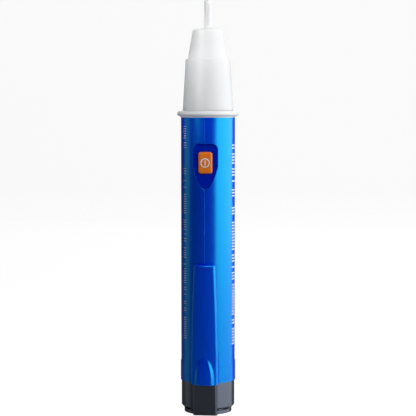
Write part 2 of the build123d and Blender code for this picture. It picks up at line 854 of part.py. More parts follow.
def make_cell(name, bottom):
    """Write one cell as its four pieces, standing on the height given."""
    body_height = cell_length - cell_nub_height
    with BuildPart() as can:
        with BuildSketch(Plane.XY.offset(bottom)):
            with Locations((0, cell_y)):
                Circle(cell_radius - cell_sleeve_wall)
        extrude(amount=body_height - cell_seal_height)
    can.part.label = name + "_can"
    export_step(can.part, "parts/" + name + "_can.step")

    with BuildPart() as sleeve:
        with BuildSketch(Plane.XY.offset(bottom)):
            with Locations((0, cell_y)):
                Circle(cell_radius)
                Circle(cell_radius - cell_sleeve_wall, mode=Mode.SUBTRACT)
        extrude(amount=body_height)
    sleeve.part.label = name + "_sleeve"
    export_step(sleeve.part, "parts/" + name + "_sleeve.step")

    with BuildPart() as seal:
        with BuildSketch(Plane.XY.offset(bottom + body_height - cell_seal_height)):
            with Locations((0, cell_y)):
                Circle(cell_radius - cell_sleeve_wall)
                Circle(cell_nub_diameter / 2, mode=Mode.SUBTRACT)
        extrude(amount=cell_seal_height)
    seal.part.label = name + "_seal"
    export_step(seal.part, "parts/" + name + "_seal.step")

    with BuildPart() as nub:
        with BuildSketch(Plane.XY.offset(bottom + body_height - cell_seal_height)):
            with Locations((0, cell_y)):
                Circle(cell_nub_diameter / 2)
        extrude(amount=cell_seal_height + cell_nub_height - touch_gap)
    nub.part.label = name + "_nub"
    export_step(nub.part, "parts/" + name + "_nub.step")


make_cell("lower_cell", cell_bottom)
make_cell("upper_cell", cell_bottom + cell_length)

# ---------------------------------------------------------------------------
# Contacts and partition at the top of the cells
# ---------------------------------------------------------------------------

plus_radius = cell_radius - plus_inset
with BuildPart() as battery_plus_contact:
    with BuildSketch(Plane.XY.offset(cells_top + touch_gap)):
        with Locations((0, cell_y)):
            Circle(plus_radius)
        with Locations((0, (cell_y + board_back) / 2)):
            Rectangle(plus_tab_width, cell_y - board_back)
    extrude(amount=contact_thickness)
battery_plus_contact.part.label = "battery_plus_contact"
export_step(battery_plus_contact.part, "parts/battery_plus_contact.step")

with BuildPart() as battery_partition:
    with BuildSketch(Plane.XY.offset(partition_bottom)):
        Circle(bore_radius - fit)
        with Locations((0, -body_radius)):
            Rectangle(2 * body_radius, 2 * (body_radius + board_back + fit), mode=Mode.SUBTRACT)
        with Locations(strip_middle):
            Rectangle(strip_thickness + strip_slot, strip_width + strip_slot, mode=Mode.SUBTRACT)
    extrude(amount=rib_thickness)
battery_partition.part.label = "battery_partition"
export_step(battery_partition.part, "parts/battery_partition.step")

strip_bottom = cap_floor + contact_thickness + touch_gap
strip_top = board_bottom + strip_overlap
with BuildPart() as return_contact_strip:
    with BuildSketch(Plane.YZ.offset(strip_x)):
        with Locations(((strip_front + strip_back) / 2, (strip_bottom + strip_top) / 2)):
            Rectangle(strip_back - strip_front, strip_top - strip_bottom)
        with Locations(((board_back + strip_back) / 2, strip_top - strip_foot / 2)):
            Rectangle(strip_back - board_back, strip_foot)
    extrude(amount=strip_thickness)
return_contact_strip.part.label = "return_contact_strip"
export_step(return_contact_strip.part, "parts/return_contact_strip.step")

# ---------------------------------------------------------------------------
# Pocket clip: fixed root with its arch, and the blade above the flex line
# ---------------------------------------------------------------------------

tongue_half = tongue_width / 2
lip_half = tongue_half + tongue_lip
lip_face = sqrt(bore_radius**2 - lip_half**2) - fit


def front_sides(piece):
    """Return the two upright edges at the front corners of a piece."""
    return piece.edges().filter_by(Axis.Z).filter_by(lambda e: -e.center().Y > blade_inner)


with BuildPart() as clip_arch:
    # A raised tab with a round upper end, which grows out of the clip towards the cap
    with BuildSketch(Plane.XZ.offset(blade_inner)):
        with BuildLine():
            arch_top = cap_height + arch_height
            arch_bend = arch_top - arch_dome
            arch_half = arch_width / 2 + clip_thickness * tan(radians(arch_slant))
            base = Line((-arch_half, cap_height), (arch_half, cap_height))
            right_side = Line(base @ 1, (arch_half, arch_bend))
            left_side = Line(base @ 0, (-arch_half, arch_bend))
            ThreePointArc(left_side @ 1, (0, arch_top), right_side @ 1)
        make_face()
    extrude(amount=2 * clip_thickness, taper=arch_slant)
    with BuildSketch(Plane.XZ):
        with BuildLine():
            Polyline(
                (0, cap_height),
                (blade_outer + arch_proud, cap_height),
                (blade_outer, cap_height + arch_height),
                (0, cap_height + arch_height),
                close=True,
            )
        make_face()
    revolve(axis=Axis.Z, mode=Mode.INTERSECT)

with BuildPart() as clip_root:
    with BuildSketch(Plane.XY.offset(cap_height)):
        Circle(blade_outer)
        Circle(body_radius / 2, mode=Mode.SUBTRACT)
        with Locations((0, -body_radius)):
            Rectangle(clip_root_width, body_radius, mode=Mode.INTERSECT)
    extrude(amount=clip_root_height)
    chamfer(front_sides(clip_root), length=clip_edge)
    add(clip_arch.part)
    # Seat against the barrel
    with BuildSketch(Plane.XY.offset(cap_height)):
        Circle(band_radius + root_seat)
    extrude(amount=band_height + root_seat, mode=Mode.SUBTRACT)
    with BuildSketch(Plane.XY.offset(cap_height)):
        Circle(body_radius + root_seat)
    extrude(amount=clip_root_height, mode=Mode.SUBTRACT)
    # Tongue through the wall, with a lip that the two shells close on
    with BuildSketch(Plane.XZ.offset(lip_face - tongue_lip)):
        with Locations((0, tongue_z)):
            Rectangle(tongue_width, tongue_height)
    extrude(amount=band_radius + clip_gap / 2 - lip_face + tongue_lip)
    with BuildSketch(Plane.XZ.offset(lip_face - tongue_lip)):
        with Locations((0, tongue_z)):
            Rectangle(2 * lip_half, tongue_height)
    extrude(amount=tongue_lip)
    # Round seat of the flex line
    with BuildSketch(Plane.YZ):
        with Locations((-hinge_y, hinge_z)):
            Circle(flex_radius + fit)
    extrude(amount=flex_width / 2 + fit, both=True, mode=Mode.SUBTRACT)
clip_root.part.label = "clip_root"
export_step(clip_root.part, "parts/clip_root.step")

mid_z = hinge_z + clip_mid_share * clip_blade_length
with BuildPart() as clip_blade:
    # A slice of a round shell around the barrel, cut to the blade's tapered outline
    with BuildSketch(Plane.XY.offset(hinge_z + flex_gap)):
        Circle(blade_outer)
        Circle(blade_inner, mode=Mode.SUBTRACT)
    extrude(amount=clip_blade_length - flex_gap)
    with BuildSketch(Plane.XZ.offset(body_radius / 2)):
        with BuildLine():
            Polyline(
                (-clip_root_width / 2, hinge_z),
                (clip_root_width / 2, hinge_z),
                (clip_mid_width / 2, mid_z),
                (clip_end_width / 2, blade_top),
                (-clip_end_width / 2, blade_top),
                (-clip_mid_width / 2, mid_z),
                close=True,
            )
        make_face()
    extrude(amount=body_radius, mode=Mode.INTERSECT)
    outer_face = faces().filter_by(GeomType.CYLINDER).sort_by(Axis.Y)[0]
    rim = outer_face.edges().filter_by(lambda e: e.center().Z > hinge_z + 2 * flex_gap)
    chamfer(rim, length=clip_edge)
    with BuildSketch(Plane.YZ):
        with Locations((-hinge_y, hinge_z)):
            Circle(flex_radius)
    extrude(amount=flex_width / 2, both=True)
clip_blade.part.label = "clip_blade"
export_step(clip_blade.part, "parts/clip_blade.step")
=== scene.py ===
"""Looks of a pen-shaped voltage tester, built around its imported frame.

Every length in this file is in metres, and MM turns millimetres into metres. The pen stands
on its foot at the origin, +Z runs up to the probe tip, and the button and clip face -Y.
"""

from __future__ import annotations

import logging
import math
from collections.abc import Callable, Sequence
from dataclasses import dataclass
from enum import Enum

import bmesh
import bpy
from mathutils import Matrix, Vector

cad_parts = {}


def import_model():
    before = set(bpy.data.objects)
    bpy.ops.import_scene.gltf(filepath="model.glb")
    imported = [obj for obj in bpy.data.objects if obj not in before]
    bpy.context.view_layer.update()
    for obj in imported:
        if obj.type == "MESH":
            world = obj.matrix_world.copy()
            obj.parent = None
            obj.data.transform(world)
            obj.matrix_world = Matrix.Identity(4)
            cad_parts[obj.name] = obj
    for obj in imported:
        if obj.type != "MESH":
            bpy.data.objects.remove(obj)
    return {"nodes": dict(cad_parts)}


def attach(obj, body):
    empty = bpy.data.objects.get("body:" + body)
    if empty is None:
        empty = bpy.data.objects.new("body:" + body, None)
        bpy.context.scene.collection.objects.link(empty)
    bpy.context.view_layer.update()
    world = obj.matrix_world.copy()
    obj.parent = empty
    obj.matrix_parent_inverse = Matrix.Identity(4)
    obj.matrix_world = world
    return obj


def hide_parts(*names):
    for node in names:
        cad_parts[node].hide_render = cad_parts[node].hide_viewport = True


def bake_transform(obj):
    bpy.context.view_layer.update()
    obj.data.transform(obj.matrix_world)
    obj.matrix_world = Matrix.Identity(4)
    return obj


LOG = logging.getLogger("voltage_tester")
MM = 0.001
Colour = tuple[float, float, float]
Point = tuple[float, float, float]


class Body(Enum):
    """Rigid bodies of the frame that made pieces ride on."""

    CASE = "case"
    BUTTON = "button"
    CLIP = "clip"


# ---------------------------------------------------------------------------
# Shader graphs and finishes
# ---------------------------------------------------------------------------


class ShaderGraph:
    """A material's node tree, with short calls for what the finishes need."""

    def __init__(self, name: str) -> None:
        """Start a material with a Principled shader and an output.

        Args:
            name: The material's name.
        """
        self.material = bpy.data.materials.new(name)
        self.material.use_nodes = True
        self.tree = self.material.node_tree
        self.shader = self.tree.nodes["Principled BSDF"]
        coordinates = self.tree.nodes.new("ShaderNodeTexCoord")
        self.position = coordinates.outputs["Object"]

    def set(self, **values: float | Sequence[float]) -> None:
        """Set constants on the shader's own sockets.

        Args:
            **values: Socket names in lower case with underscores, and their values.
        """
        sockets = {s.name.lower().replace(" ", "_"): s for s in self.shader.inputs}
        for name, value in values.items():
            sockets[name].default_value = value

    def stretched(self, scale: Point) -> bpy.types.NodeSocket:
        """Return the object position with each axis scaled.

        Args:
            scale: Factor for each axis.

        Returns:
            The scaled position's socket.
        """
        mapping = self.tree.nodes.new("ShaderNodeMapping")
        mapping.inputs["Scale"].default_value = scale
        self.tree.links.new(self.position, mapping.inputs["Vector"])
        return mapping.outputs["Vector"]

    def noise(
        self,
        size: float,
        detail: float = 3.0,
        stretch: Point = (1.0, 1.0, 1.0),
    ) -> bpy.types.NodeSocket:
        """Add a noise pattern.

        Args:
            size: Size of its grains.
            detail: Octaves of finer noise.
            stretch: Factor for each axis before the pattern is read.

        Returns:
            The pattern's socket, about 0 to 1.
        """
        node = self.tree.nodes.new("ShaderNodeTexNoise")
        node.inputs["Scale"].default_value = 1.0 / size
        node.inputs["Detail"].default_value = detail
        self.tree.links.new(self.stretched(stretch), node.inputs["Vector"])
        return node.outputs["Fac"]

    def ranged(
        self,
        value: bpy.types.NodeSocket,
        source: tuple[float, float],
        target: tuple[float, float],
    ) -> bpy.types.NodeSocket:
        """Map one range of numbers onto another, clamped.

        Args:
            value: What to map.
            source: Range it has.
            target: Range it gets.

        Returns:
            The mapped number's socket.
        """
        node = self.tree.nodes.new("ShaderNodeMapRange")
        self.tree.links.new(value, node.inputs["Value"])
        node.inputs["From Min"].default_value = source[0]
        node.inputs["From Max"].default_value = source[1]
        node.inputs["To Min"].default_value = target[0]
        node.inputs["To Max"].default_value = target[1]
        return node.outputs["Result"]

    def mixed(
        self,
        share: bpy.types.NodeSocket,
        first: Colour | bpy.types.NodeSocket,
        second: Colour,
    ) -> bpy.types.NodeSocket:
        """Mix two colours.

        Args:
            share: Share of the second colour.
            first: The first colour, or a socket that gives it.
            second: The second colour.

        Returns:
            The mixed colour's socket.
        """
        node = self.tree.nodes.new("ShaderNodeMix")
        node.data_type = "RGBA"
        self.tree.links.new(share, node.inputs["Factor"])
        if isinstance(first, bpy.types.NodeSocket):
            self.tree.links.new(first, node.inputs["A"])
        else:
            node.inputs["A"].default_value = (*first, 1.0)
        node.inputs["B"].default_value = (*second, 1.0)
        return node.outputs["Result"]

    def link(self, value: bpy.types.NodeSocket, socket: str) -> None:
        """Feed one of the shader's sockets."""
        self.tree.links.new(value, self.shader.inputs[socket])

    def seen_directly(self) -> bpy.types.NodeSocket:
        """Return 1 where a view ray meets the surface first, and 0 for reflected light."""
        return self.tree.nodes.new("ShaderNodeLightPath").outputs["Is Camera Ray"]

    def height(self) -> bpy.types.NodeSocket:
        """Return the place's height on the pen, in metres."""
        node = self.tree.nodes.new("ShaderNodeSeparateXYZ")
        self.tree.links.new(self.position, node.inputs["Vector"])
        return node.outputs["Z"]

    def relief(
        self,
        pattern: bpy.types.NodeSocket,
        depth: float,
        under: bpy.types.NodeSocket | None = None,
    ) -> bpy.types.NodeSocket:
        """Raise the surface by a pattern, and feed the shader's normal.

        Args:
            pattern: Pattern from 0 to 1.
            depth: Height of its tops.
            under: A coarser relief that this one stands on.

        Returns:
            The normal's socket, for a finer relief to stand on.
        """
        node = self.tree.nodes.new("ShaderNodeBump")
        node.inputs["Strength"].default_value = 1.0
        node.inputs["Distance"].default_value = depth
        self.tree.links.new(pattern, node.inputs["Height"])
        if under is not None:
            self.tree.links.new(under, node.inputs["Normal"])
        self.link(node.outputs["Normal"], "Normal")
        return node.outputs["Normal"]


def tone(colour: Colour, factor: float) -> Colour:
    """Return a colour made lighter or darker, within 0 to 1."""
    red, green, blue = (min(1.0, channel * factor) for channel in colour)
    return (red, green, blue)


@dataclass(frozen=True)
class MouldedPlastic:
    """Injection-moulded plastic: faint flow mottling, fine grain and a slow waviness."""

    name: str
    colour: Colour
    roughness: float = 0.25
    roughness_spread: float = 0.012
    tint: Colour = (1.0, 1.0, 1.0)
    specular: float = 0.5
    ior: float = 1.5
    mottle: float = 0.06
    grain_size: float = 0.25 * MM
    grain_depth: float = 0.002 * MM
    wave_depth: float = 0.004 * MM
    see_through: float = 0.0
    scatter_depth: float = 1.0 * MM

    def make(self) -> bpy.types.Material:
        """Return the finished material."""
        graph = ShaderGraph(self.name)
        flow = graph.noise(6.0 * MM, detail=2.0, stretch=(1.0, 1.0, 0.35))
        shade = graph.mixed(flow, tone(self.colour, 1 - self.mottle), tone(self.colour, 1 + self.mottle))
        graph.link(shade, "Base Color")
        haze = graph.noise(3.0 * MM, detail=4.0)
        spread = self.roughness_spread
        gloss = graph.ranged(haze, (0.3, 0.7), (self.roughness - spread, self.roughness + spread))
        graph.link(gloss, "Roughness")
        wave = graph.relief(graph.noise(4.0 * MM, detail=1.0), self.wave_depth)
        graph.relief(graph.noise(self.grain_size, detail=2.0), self.grain_depth, wave)
        graph.set(
            specular_ior_level=self.specular,
            specular_tint=(*self.tint, 1.0),
            ior=self.ior,
            subsurface_weight=self.see_through,
            subsurface_scale=self.scatter_depth,
            subsurface_radius=(1.0, 0.95, 0.9),
        )
        return graph.material


@dataclass(frozen=True)
class PlatedMetal:
    """Plated or drawn metal with fine drawing lines and uneven gloss."""

    name: str
    colour: Colour
    roughness: float = 0.25
    line_size: float = 0.15 * MM

    def make(self) -> bpy.types.Material:
        """Return the finished material."""
        graph = ShaderGraph(self.name)
        tarnish = graph.noise(2.5 * MM, detail=5.0)
        graph.link(graph.mixed(tarnish, tone(self.colour, 0.88), tone(self.colour, 1.06)), "Base Color")
        lines = graph.noise(self.line_size, detail=2.0, stretch=(1.0, 1.0, 0.05))
        gloss = (self.roughness * 0.7, self.roughness * 1.3)
        graph.link(graph.ranged(lines, (0.2, 0.8), gloss), "Roughness")
        graph.relief(lines, 0.003 * MM)
        graph.set(metallic=1.0)
        return graph.material


@dataclass(frozen=True)
class Rubber:
    """Matt moulded rubber with a dusty bloom."""

    name: str
    colour: Colour = (0.012, 0.012, 0.012)

    def make(self) -> bpy.types.Material:
        """Return the finished material."""
        graph = ShaderGraph(self.name)
        bloom = graph.noise(1.0 * MM, detail=5.0)
        graph.link(graph.mixed(bloom, self.colour, tone(self.colour, 2.2)), "Base Color")
        graph.link(graph.ranged(bloom, (0.2, 0.8), (0.6, 0.8)), "Roughness")
        graph.relief(graph.noise(0.12 * MM, detail=3.0), 0.008 * MM)
        return graph.material


@dataclass(frozen=True)
class BoardLaminate:
    """Glass laminate under solder mask, with tracks that show through the mask."""

    name: str
    mask: Colour = (0.008, 0.10, 0.035)
    track: Colour = (0.02, 0.19, 0.07)
    track_pitch: float = 1.6 * MM

    def make(self) -> bpy.types.Material:
        """Return the finished material."""
        graph = ShaderGraph(self.name)
        cells = graph.tree.nodes.new("ShaderNodeTexBrick")
        cells.inputs["Scale"].default_value = 0.25 / self.track_pitch
        cells.inputs["Mortar Size"].default_value = 0.03
        cells.inputs["Color1"].default_value = (0.0, 0.0, 0.0, 1.0)
        cells.inputs["Color2"].default_value = (0.0, 0.0, 0.0, 1.0)
        cells.inputs["Mortar"].default_value = (1.0, 1.0, 1.0, 1.0)
        turned = graph.tree.nodes.new("ShaderNodeMapping")
        turned.inputs["Rotation"].default_value = (math.pi / 2, 0.0, 0.0)
        graph.tree.links.new(graph.position, turned.inputs["Vector"])
        graph.tree.links.new(turned.outputs["Vector"], cells.inputs["Vector"])
        tracks = cells.outputs["Color"]
        graph.link(graph.mixed(tracks, self.mask, self.track), "Base Color")
        graph.relief(tracks, 0.02 * MM)
        graph.link(graph.ranged(graph.noise(0.8 * MM), (0.3, 0.7), (0.28, 0.4)), "Roughness")
        return graph.material


@dataclass(frozen=True)
class BandedSleeve:
    """Printed shrink sleeve of a cell: a plain body colour and a ring at its upper end."""

    name: str
    ring_height: float
    body: Colour = (0.05, 0.07, 0.09)
    ring: Colour = (0.62, 0.64, 0.66)

    def make(self) -> bpy.types.Material:
        """Return the finished material."""
        graph = ShaderGraph(self.name)
        blur = 0.05 * MM
        edge = (self.ring_height - blur, self.ring_height + blur)
        share = graph.ranged(graph.height(), edge, (0.0, 1.0))
        worn = graph.mixed(graph.noise(3.0 * MM), tone(self.body, 0.85), tone(self.body, 1.2))
        graph.link(graph.mixed(share, worn, self.ring), "Base Color")
        graph.link(graph.ranged(graph.noise(1.0 * MM), (0.3, 0.7), (0.2, 0.34)), "Roughness")
        graph.relief(graph.noise(1.5 * MM, detail=1.0), 0.01 * MM)
        return graph.material


Finish = MouldedPlastic | PlatedMetal | Rubber | BoardLaminate | BandedSleeve

GLOSS_TINT = (0.03, 0.95, 1.0)
BARREL_BLUE = MouldedPlastic(
    "barrel_blue", (0.0, 0.006, 0.76), roughness=0.3, tint=GLOSS_TINT, specular=1.0, ior=2.0
)
CLIP_BLUE = MouldedPlastic(
    "clip_blue", (0.0, 0.006, 0.8), roughness=0.3, tint=GLOSS_TINT, specular=1.0, ior=2.0
)
# Darker than the barrel's blue as painted shade: this piece lines the button's recess, and its darker
# colour stands in for the shade that falls there.
BEZEL_BLUE_PAINTED_SHADE = MouldedPlastic("bezel_blue", (0.0, 0.006, 0.48), roughness=0.36, tint=GLOSS_TINT)
NOSE_WHITE = MouldedPlastic(
    "nose_white", (0.93, 0.935, 0.94), roughness=0.38, mottle=0.01, see_through=0.9, scatter_depth=4.0 * MM
)
COLLAR_WHITE = MouldedPlastic(
    "collar_white", (0.86, 0.875, 0.89), roughness=0.34, mottle=0.012, see_through=0.25
)
CAP_BLACK = MouldedPlastic(
    "cap_black",
    (0.004, 0.004, 0.005),
    roughness=0.26,
    tint=(0.68, 0.77, 1.0),
    specular=1.0,
    ior=1.85,
    grain_size=0.18 * MM,
    grain_depth=0.006 * MM,
    mottle=0.15,
)
BUTTON_ORANGE = MouldedPlastic(
    "button_orange", (1.0, 0.23, 0.012), roughness=0.3, mottle=0.04, see_through=0.1
)
PRINT_WHITE = MouldedPlastic("print_white", (0.88, 0.9, 0.92), roughness=0.5, mottle=0.03)
COMPONENT_BLACK = MouldedPlastic("component_black", (0.012, 0.012, 0.013), roughness=0.5, mottle=0.2)
CAPACITOR_TAN = MouldedPlastic("capacitor_tan", (0.36, 0.23, 0.12), roughness=0.45, mottle=0.1)
LENS_RED = MouldedPlastic("lens_red", (0.6, 0.03, 0.02), roughness=0.12, see_through=0.5)
NYLON = MouldedPlastic("nylon", (0.7, 0.68, 0.6), roughness=0.45, see_through=0.2)
TIN = PlatedMetal("tin", (0.66, 0.66, 0.64), roughness=0.35)
NICKEL = PlatedMetal("nickel", (0.72, 0.7, 0.67), roughness=0.2)
BRASS = PlatedMetal("brass", (0.72, 0.5, 0.2), roughness=0.28)
CAN_STEEL = PlatedMetal("can_steel", (0.6, 0.6, 0.6), roughness=0.3)
SEAL_RUBBER = Rubber("seal_rubber")
LAMINATE = BoardLaminate("laminate")


def dress(node: bpy.types.Object, finish: Finish) -> None:
    """Give a frame node or a made piece one finish all over.

    Args:
        node: The object to dress.
        finish: Its finish. Pieces that share a finish share one material.
    """
    material = bpy.data.materials.get(finish.name) or finish.make()
    if not node.material_slots:
        node.data.materials.append(material)
    for place in node.material_slots:
        place.material = material


# ---------------------------------------------------------------------------
# Mesh helpers
# ---------------------------------------------------------------------------


def new_piece(name: str, mesh: bmesh.types.BMesh, sharp_angle: float = 40.0) -> bpy.types.Object:
    """Turn a finished mesh into a smooth-shaded piece at the origin.

    Args:
        name: The piece's name.
        mesh: Its mesh, which is freed.
        sharp_angle: Edges that turn by more degrees than this stay sharp.

    Returns:
        The piece's object.
    """
    bmesh.ops.remove_doubles(mesh, verts=mesh.verts, dist=1e-7)
    bmesh.ops.recalc_face_normals(mesh, faces=mesh.faces)
    data = bpy.data.meshes.new(name)
    mesh.to_mesh(data)
    mesh.free()
    data.shade_smooth()
    data.set_sharp_from_angle(angle=math.radians(sharp_angle))
    piece = bpy.data.objects.new(name, data)
    bpy.context.scene.collection.objects.link(piece)
    return piece


def loft(rings: Sequence[Sequence[Point]]) -> bmesh.types.BMesh:
    """Skin closed rings of equal length in order, and close both ends.

    Args:
        rings: The rings, each a list of points.

    Returns:
        The closed mesh.
    """
    mesh = bmesh.new()
    rows = [[mesh.verts.new(point) for point in ring] for ring in rings]
    for low, high in zip(rows, rows[1:]):
        for i in range(len(low)):
            j = (i + 1) % len(low)
            mesh.faces.new((low[i], low[j], high[j], high[i]))
    mesh.faces.new(rows[0])
    mesh.faces.new(rows[-1])
    return mesh


def smooth(value: float, low: float, high: float) -> float:
    """Return 0 below low, 1 above high and a smooth step between."""
    share = min(1.0, max(0.0, (value - low) / (high - low)))
    return share * share * (3.0 - 2.0 * share)


class ShapeTree:
    """A Geometry Nodes tree built in code, with named inputs and short calls for its nodes."""

    def __init__(self, name: str) -> None:
        """Start a tree that gives one geometry.

        Args:
            name: The tree's name.
        """
        self.tree = bpy.data.node_groups.new(name, "GeometryNodeTree")
        self.tree.interface.new_socket("Geometry", in_out="OUTPUT", socket_type="NodeSocketGeometry")
        self.source = self.tree.nodes.new("NodeGroupInput")
        self.result = self.tree.nodes.new("NodeGroupOutput")

    def size(self, name: str, kind: str = "NodeSocketFloat") -> bpy.types.NodeSocket:
        """Add a named input.

        Args:
            name: The input's name.
            kind: Its socket type.

        Returns:
            The input's socket inside the tree.
        """
        self.tree.interface.new_socket(name, in_out="INPUT", socket_type=kind)
        return self.source.outputs[name]

    def node(self, kind: str, **inputs: bpy.types.NodeSocket | float | Point) -> bpy.types.Node:
        """Add a node and feed its inputs.

        Args:
            kind: The node's type.
            **inputs: Input names with underscores for spaces, and a socket or a value.

        Returns:
            The node.
        """
        node = self.tree.nodes.new(kind)
        for name, value in inputs.items():
            self.feed(node.inputs[name.replace("_", " ")], value)
        return node

    def feed(self, socket: bpy.types.NodeSocket, value: bpy.types.NodeSocket | float | Point) -> None:
        """Link a socket to an input, or set the input's value."""
        if isinstance(value, bpy.types.NodeSocket):
            self.tree.links.new(value, socket)
        else:
            socket.default_value = value

    def math(
        self,
        operation: str,
        first: bpy.types.NodeSocket | float,
        second: bpy.types.NodeSocket | float = 0.0,
    ) -> bpy.types.NodeSocket:
        """Return the result of one sum.

        Args:
            operation: The Math node's operation.
            first: First number.
            second: Second number, where the operation has one.

        Returns:
            The result's socket.
        """
        node = self.tree.nodes.new("ShaderNodeMath")
        node.operation = operation
        self.feed(node.inputs[0], first)
        self.feed(node.inputs[1], second)
        return node.outputs[0]

    def finish(self, geometry: bpy.types.NodeSocket, material: bpy.types.NodeSocket) -> None:
        """End the tree in Realize Instances and Set Material.

        Args:
            geometry: What the tree has made.
            material: The material's socket.
        """
        real = self.node("GeometryNodeRealizeInstances", Geometry=geometry)
        dressed = self.node("GeometryNodeSetMaterial", Geometry=real.outputs["Geometry"], Material=material)
        self.tree.links.new(dressed.outputs["Geometry"], self.result.inputs["Geometry"])

    def grow(self, name: str, **values: float | int | bpy.types.Material) -> bpy.types.Object:
        """Run the tree once, and keep its result as a plain mesh.

        Args:
            name: The new piece's name.
            **values: Values of the tree's named inputs.

        Returns:
            The piece, at the origin.
        """
        piece = bpy.data.objects.new(name, bpy.data.meshes.new(name))
        bpy.context.scene.collection.objects.link(piece)
        modifier = piece.modifiers.new(name, "NODES")
        modifier.node_group = self.tree
        for item in self.tree.interface.items_tree:
            if item.in_out == "INPUT":
                modifier[item.identifier] = values[item.name]
        graph = bpy.context.evaluated_depsgraph_get()
        mesh = bpy.data.meshes.new_from_object(piece.evaluated_get(graph))
        piece.modifiers.remove(modifier)
        piece.data = mesh
        return piece


# ---------------------------------------------------------------------------
# Sub-assemblies
# ---------------------------------------------------------------------------


@dataclass
class Barrel:
    """The two shells of the barrel and the window piece that lines the button's recess."""

    halves: tuple[str, ...] = ("shell_left", "shell_right")
    window: str = "button_bezel"

    def build(self, nodes: dict[str, bpy.types.Object]) -> list[bpy.types.Object]:
        """Dress the barrel's pieces.

        Args:
            nodes: Frame nodes by name.

        Returns:
            The dressed pieces.
        """
        for name in self.halves:
            dress(nodes[name], BARREL_BLUE)
        # The window piece gets the darker blue, which is painted shade of the recess.
        dress(nodes[self.window], BEZEL_BLUE_PAINTED_SHADE)
        return [nodes[name] for name in (*self.halves, self.window)]


@dataclass
class PocketClip:
    """The clip as one moulding: a root on the band, its arch, and a blade that flexes."""

    bottom: float = 12.5 * MM
    top: float = 58.7 * MM
    band_top: float = 20.02 * MM
    band_radius: float = 10.68 * MM
    seat_radius: float = 10.48 * MM
    inner_radius: float = 12.2 * MM
    outer_radius: float = 14.0 * MM
    root_half: float = 5.25 * MM
    middle_half: float = 4.9 * MM
    end_half: float = 4.2 * MM
    middle: float = 39.6 * MM
    edge: float = 0.75 * MM
    top_corner: float = 0.9 * MM
    hinge: Point = (0.0, -13.0 * MM, 24.0 * MM)
    throat: float = 1.6 * MM
    arch_bend: float = 14.0 * MM
    arch_top: float = 23.4 * MM
    arch_half: float = 3.95 * MM
    arch_rise: float = 0.85 * MM
    arch_flank: float = 1.3 * MM
    seam_half: float = 0.09 * MM
    seam_rise: float = 0.02 * MM
    corner_across: float = 0.32
    corner_back: float = 0.42
    across: int = 88
    arch_levels: int = 52
    arch_level_step: float = 0.26 * MM
    blade_levels: int = 30
    top_levels: int = 8
    ledge: float = 0.01 * MM

    def half_width(self, z: float) -> float:
        """Return half of the clip's width at a height, with its rounded top corners."""
        if z <= self.hinge[2]:
            return self.root_half
        if z <= self.middle:
            share = (z - self.hinge[2]) / (self.middle - self.hinge[2])
            return self.root_half + share * (self.middle_half - self.root_half)
        share = (z - self.middle) / (self.top - self.middle)
        half = self.middle_half + share * (self.end_half - self.middle_half)
        rise = max(0.0, z - (self.top - self.top_corner)) / self.top_corner
        return half - self.top_corner * (1.0 - math.sqrt(max(0.0, 1.0 - rise * rise)))

    def back_radius(self, z: float) -> float:
        """Return the radius of the clip's back at a height."""
        if z < self.band_top:
            return self.band_radius
        share = smooth(z, self.hinge[2] - self.throat, self.hinge[2] + 0.4 * self.throat)
        return self.seat_radius + share * (self.inner_radius - self.seat_radius)

    def front_radius(self, z: float) -> float:
        """Return the radius of the clip's plain front at a height, with its top edge."""
        rise = max(0.0, z - (self.top - self.edge)) / self.edge
        return self.outer_radius - self.edge * rise**2

    def arch(self, x: float, z: float) -> float:
        """Return how far the arch stands out of the clip's front at a place."""
        if z >= self.arch_top:
            return 0.0
        bend = max(0.0, z - self.arch_bend) / (self.arch_top - self.arch_bend)
        half = self.arch_half * math.sqrt(1.0 - bend**2)
        share = (z - self.bottom) / (self.arch_top - self.bottom)
        rise = self.arch_rise * (1.0 - share**2)
        return rise * (1.0 - smooth(abs(x), half - self.arch_flank, half))

    def seam(self, x: float) -> float:
        """Return the height of the moulding's parting line at a place."""
        return self.seam_rise * max(0.0, 1.0 - abs(x) / self.seam_half)

    def ring(self, z: float) -> list[Point]:
        """Return the clip's outline at one height, from its left front round to its back.

        Args:
            z: The height.

        Returns:
            The outline's points.
        """
        half = self.half_width(z)
        front = self.front_radius(z)
        back = self.back_radius(z)
        flat = half - self.edge
        points = []
        for i in range(self.across + 1):
            x = flat * (2.0 * i / self.across - 1.0)
            proud = self.arch(x, z) + self.seam(x)
            points.append((x, -math.sqrt(front**2 - x**2) - proud, z))
        corner_y = -math.sqrt(front**2 - flat**2)
        side_y = -math.sqrt(front**2 - half**2) + self.edge
        corner_x = half - self.corner_across * self.edge
        bevel_y = corner_y + self.corner_back * (side_y - corner_y)
        points.append((corner_x, bevel_y, z))
        points.append((half, side_y, z))
        for i in range(self.across // 4 + 1):
            x = half * (1.0 - 8.0 * i / self.across)
            points.append((x, -math.sqrt(back**2 - x**2), z))
        points.append((-half, side_y, z))
        points.append((-corner_x, bevel_y, z))
        return points

    def heights(self) -> list[float]:
        """Return the heights of the outlines, closer where the shape changes."""
        levels = [self.bottom + self.arch_level_step * i for i in range(self.arch_levels)]
        levels += [self.band_top - self.ledge, self.band_top + self.ledge]
        start = max(levels)
        end = self.top - self.top_corner
        count = self.blade_levels
        levels += [start + (end - start) * i / count for i in range(1, count)]
        count = self.top_levels
        turns = [math.pi / 2 * i / count for i in range(count + 1)]
        levels += [end + self.top_corner * math.sin(turn) for turn in turns]
        return sorted(levels)

    def build(self) -> bpy.types.Object:
        """Make the clip as one piece, and hide the frame's own clip pieces.

        Returns:
            The clip.
        """
        clip = new_piece("pocket_clip", loft([self.ring(z) for z in self.heights()]), 50.0)
        dress(clip, CLIP_BLUE)
        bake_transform(clip)
        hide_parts("clip_root", "clip_blade")
        return clip


